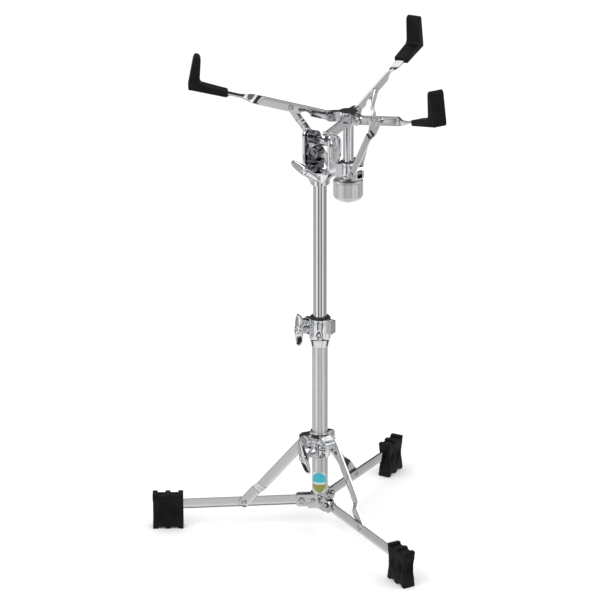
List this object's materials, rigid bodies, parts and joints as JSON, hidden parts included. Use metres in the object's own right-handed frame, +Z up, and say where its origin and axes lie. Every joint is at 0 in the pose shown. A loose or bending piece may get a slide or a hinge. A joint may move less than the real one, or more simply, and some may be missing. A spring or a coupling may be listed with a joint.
{
  "type": "snare drum stand",
  "caption": "Folding flat-base stand for a snare drum: telescoping column with clamp, tilting head and closing basket with rubber grips.",
  "frame": {"origin": "on the floor at the column axis, midway between the feet", "axes": "+Z up along the column, +X to the viewer's right, +Y away from the viewer; one leg points to -X"},
  "size_m": [0.4023, 0.4738, 0.675],
  "materials": {
    "polished_chrome": "polished chrome plate",
    "strip_chrome": "chrome plate over pressed strip",
    "satin_chrome": "satin chrome plate",
    "screw_chrome": "chrome plated fasteners",
    "tilter_chrome": "darker chrome plate on the tilter",
    "threaded_steel": "machined steel thread",
    "rubber": "moulded black rubber",
    "black_plastic": "black nylon",
    "brass": "machined brass",
    "label": "printed film"
  },
  "bodies": {
    "base": {"hub_casting": "polished_chrome", "hub_plate_1": "strip_chrome", "hub_plate_2": "strip_chrome", "hub_plate_3": "strip_chrome", "plate_screws": "screw_chrome", "leg_bolts": "screw_chrome", "lower_tube": "satin_chrome", "tube_label": "label", "clamp_body": "polished_chrome", "clamp_bushing": "black_plastic", "clamp_bolt": "screw_chrome", "clamp_hinge_pin": "screw_chrome"},
    "height_wing": {"height_wing_nut": "polished_chrome"},
    "collar": {"brace_collar": "polished_chrome", "brace_pins": "screw_chrome"},
    "collar_wing": {"collar_wing_screw": "polished_chrome"},
    "leg_1": {"leg_bar_1": "strip_chrome", "leg_foot_1": "rubber", "leg_rivet_1": "screw_chrome"},
    "brace_1": {"brace_1": "strip_chrome"},
    "leg_2": {"leg_bar_2": "strip_chrome", "leg_foot_2": "rubber", "leg_rivet_2": "screw_chrome"},
    "brace_2": {"brace_2": "strip_chrome"},
    "leg_3": {"leg_bar_3": "strip_chrome", "leg_foot_3": "rubber", "leg_rivet_3": "screw_chrome"},
    "brace_3": {"brace_3": "strip_chrome"},
    "upper_column": {"upper_tube": "polished_chrome", "upper_tube_plug": "black_plastic"},
    "tilter": {"tilter_yoke": "polished_chrome", "tilter_axle": "tilter_chrome", "tilter_cover": "polished_chrome", "tilter_shoe": "tilter_chrome", "tilter_bolt": "screw_chrome"},
    "tilter_wing": {"tilter_wing_nut": "polished_chrome"},
    "basket": {"tilt_drum": "tilter_chrome", "tilt_arm": "polished_chrome", "basket_post": "polished_chrome", "basket_hub": "polished_chrome", "hub_pins": "screw_chrome", "thread_rod": "threaded_steel"},
    "slider": {"slider_hub": "polished_chrome", "slider_pins": "screw_chrome"},
    "knob": {"basket_knob": "satin_chrome", "knob_nut": "brass"},
    "arm_1": {"basket_arm_1": "strip_chrome", "arm_tip_1": "rubber", "arm_screw_1": "screw_chrome"},
    "link_1": {"arm_link_1": "strip_chrome"},
    "arm_2": {"basket_arm_2": "strip_chrome", "arm_tip_2": "rubber", "arm_screw_2": "screw_chrome"},
    "link_2": {"arm_link_2": "strip_chrome"},
    "arm_3": {"basket_arm_3": "strip_chrome", "arm_tip_3": "rubber", "arm_screw_3": "screw_chrome"},
    "link_3": {"arm_link_3": "strip_chrome"}
  },
  "joints": [
    {"name": "leg_1_fold", "type": "hinge", "parent": "base", "child": "leg_1", "pos_m": [-0.026, -0.00045, 0.0405], "axis": [-0.0175, 0.9998, 0], "range_deg": [0, 82]},
    {"name": "leg_2_fold", "type": "hinge", "parent": "base", "child": "leg_2", "pos_m": [0.01339, -0.02229, 0.0405], "axis": [-0.8572, -0.515, 0], "range_deg": [0, 82]},
    {"name": "leg_3_fold", "type": "hinge", "parent": "base", "child": "leg_3", "pos_m": [0.0126, 0.02274, 0.0405], "axis": [0.8746, -0.4848, 0], "range_deg": [0, 82]},
    {"name": "collar_slide", "type": "slide", "parent": "base", "child": "collar", "axis": [0, 0, 1], "range_m": [0, 0.11338]},
    {"name": "brace_1_swing", "type": "hinge", "parent": "collar", "child": "brace_1", "pos_m": [-0.022, -0.00038, 0.134], "axis": [0.0175, -0.9998, 0], "range_deg": [0, 33.43]},
    {"name": "brace_2_swing", "type": "hinge", "parent": "collar", "child": "brace_2", "pos_m": [0.01133, -0.01886, 0.134], "axis": [0.8572, 0.515, 0], "range_deg": [0, 33.43]},
    {"name": "brace_3_swing", "type": "hinge", "parent": "collar", "child": "brace_3", "pos_m": [0.01067, 0.01924, 0.134], "axis": [-0.8746, 0.4848, 0], "range_deg": [0, 33.43]},
    {"name": "height_slide", "type": "slide", "parent": "base", "child": "upper_column", "axis": [0, 0, 1], "range_m": [-0.115, 0.03]},
    {"name": "tilter_swivel", "type": "hinge", "parent": "upper_column", "child": "tilter", "pos_m": [0, 0, 0.51], "axis": [0, 0, 1], "continuous": true},
    {"name": "basket_tilt", "type": "hinge", "parent": "tilter", "child": "basket", "pos_m": [0, 0, 0.575], "axis": [0.866, -0.5, 0], "range_deg": [-18, 60]},
    {"name": "height_wing_turn", "type": "hinge", "parent": "base", "child": "height_wing", "pos_m": [-0.0172, 0.01205, 0.298], "axis": [-0.5736, -0.8192, 0], "continuous": true},
    {"name": "collar_wing_turn", "type": "hinge", "parent": "collar", "child": "collar_wing", "pos_m": [0, 0, 0.1175], "axis": [-0.5736, -0.8192, 0], "continuous": true},
    {"name": "tilter_wing_turn", "type": "hinge", "parent": "tilter", "child": "tilter_wing", "pos_m": [-0.00693, 0.004, 0.5335], "axis": [-0.5, -0.866, 0], "continuous": true},
    {"name": "slider_slide", "type": "slide", "parent": "basket", "child": "slider", "axis": [0, 0, 1], "range_m": [0, 0.02451]},
    {"name": "knob_turn", "type": "hinge", "parent": "slider", "child": "knob", "pos_m": [0.039, 0.06755, 0.477], "axis": [0, 0, 1], "range_deg": [0, 3530.33]},
    {"name": "arm_1_close", "type": "hinge", "parent": "basket", "child": "arm_1", "pos_m": [0.01403, 0.06624, 0.585], "axis": [-0.0523, 0.9986, 0], "range_deg": [0, 55.01]},
    {"name": "arm_2_close", "type": "hinge", "parent": "basket", "child": "arm_2", "pos_m": [0.05262, 0.04658, 0.585], "axis": [-0.8387, -0.5446, 0], "range_deg": [0, 55.01]},
    {"name": "arm_3_close", "type": "hinge", "parent": "basket", "child": "arm_3", "pos_m": [0.05035, 0.08983, 0.585], "axis": [0.891, -0.454, 0], "range_deg": [0, 55.01]},
    {"name": "link_1_swing", "type": "hinge", "parent": "slider", "child": "link_1", "pos_m": [0.01703, 0.0664, 0.508], "axis": [-0.0523, 0.9986, 0], "range_deg": [0, 19.82]},
    {"name": "link_2_swing", "type": "hinge", "parent": "slider", "child": "link_2", "pos_m": [0.05098, 0.0491, 0.508], "axis": [-0.8387, -0.5446, 0], "range_deg": [0, 19.82]},
    {"name": "link_3_swing", "type": "hinge", "parent": "slider", "child": "link_3", "pos_m": [0.04899, 0.08715, 0.508], "axis": [0.891, -0.454, 0], "range_deg": [0, 19.82]}
  ],
  "couplings": [
    {"joint": "leg_2_fold", "follows": "leg_1_fold", "ratio": 1},
    {"joint": "leg_3_fold", "follows": "leg_1_fold", "ratio": 1},
    {"joint": "collar_slide", "follows": "leg_1_fold", "m_per_rad": 0.079213},
    {"joint": "brace_1_swing", "follows": "leg_1_fold", "ratio": 0.40759},
    {"joint": "brace_2_swing", "follows": "leg_1_fold", "ratio": 0.40759},
    {"joint": "brace_3_swing", "follows": "leg_1_fold", "ratio": 0.40759},
    {"joint": "knob_turn", "follows": "slider_slide", "rad_per_m": 2513.3},
    {"joint": "arm_1_close", "follows": "slider_slide", "rad_per_m": 39.166},
    {"joint": "arm_2_close", "follows": "slider_slide", "rad_per_m": 39.166},
    {"joint": "arm_3_close", "follows": "slider_slide", "rad_per_m": 39.166},
    {"joint": "link_1_swing", "follows": "slider_slide", "rad_per_m": 14.107},
    {"joint": "link_2_swing", "follows": "slider_slide", "rad_per_m": 14.107},
    {"joint": "link_3_swing", "follows": "slider_slide", "rad_per_m": 14.107}
  ]
}
